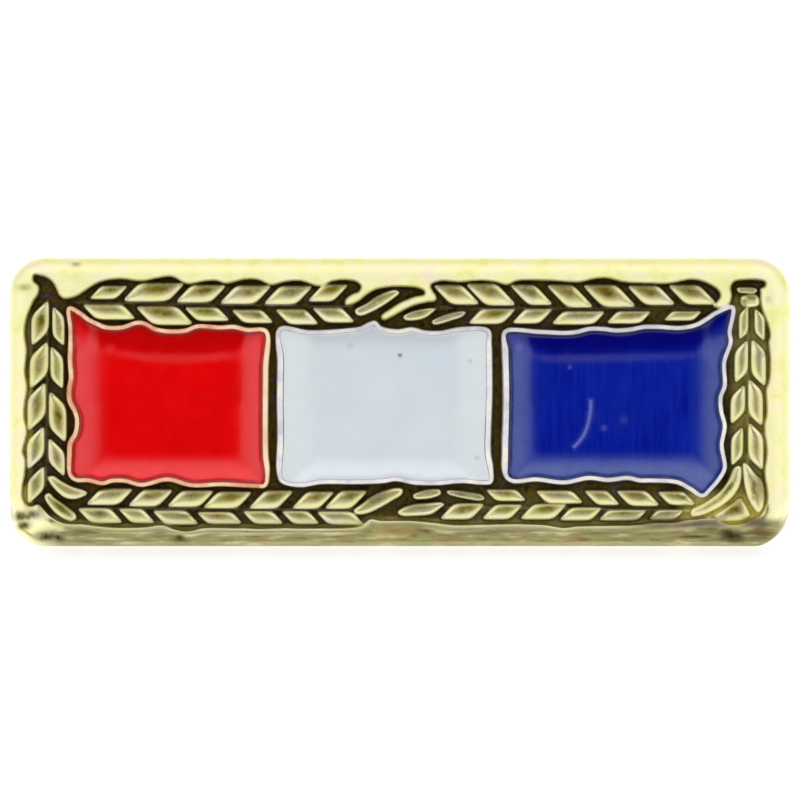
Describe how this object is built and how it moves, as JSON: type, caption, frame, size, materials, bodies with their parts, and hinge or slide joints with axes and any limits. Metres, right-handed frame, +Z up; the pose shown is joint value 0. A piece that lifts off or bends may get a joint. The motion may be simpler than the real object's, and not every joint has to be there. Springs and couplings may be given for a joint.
{
  "type": "ribbon pin",
  "caption": "Small gold-plated ribbon bar pin with a laurel border in relief round red, white and blue enamel cells, worn on cloth by the plain post on its back.",
  "frame": {"origin": "centre of the pin's bounding box at the height of the table that it rests on", "axes": "+X along the bar, towards the blue cell; +Z up; the bar's face looks towards -Y and leans back, so the post points towards +Y and down"},
  "size_m": [0.0222, 0.0102, 0.0079],
  "materials": {
    "gold_plate": "pale gold plate, polished on the raised parts, dark antiquing in the grooves",
    "red_enamel": "glossy soft enamel",
    "white_enamel": "glossy soft enamel",
    "blue_enamel": "glossy soft enamel"
  },
  "bodies": {
    "root": {"bar": "gold_plate", "enamel_red": "red_enamel", "enamel_white": "white_enamel", "enamel_blue": "blue_enamel"}
  },
  "joints": []
}
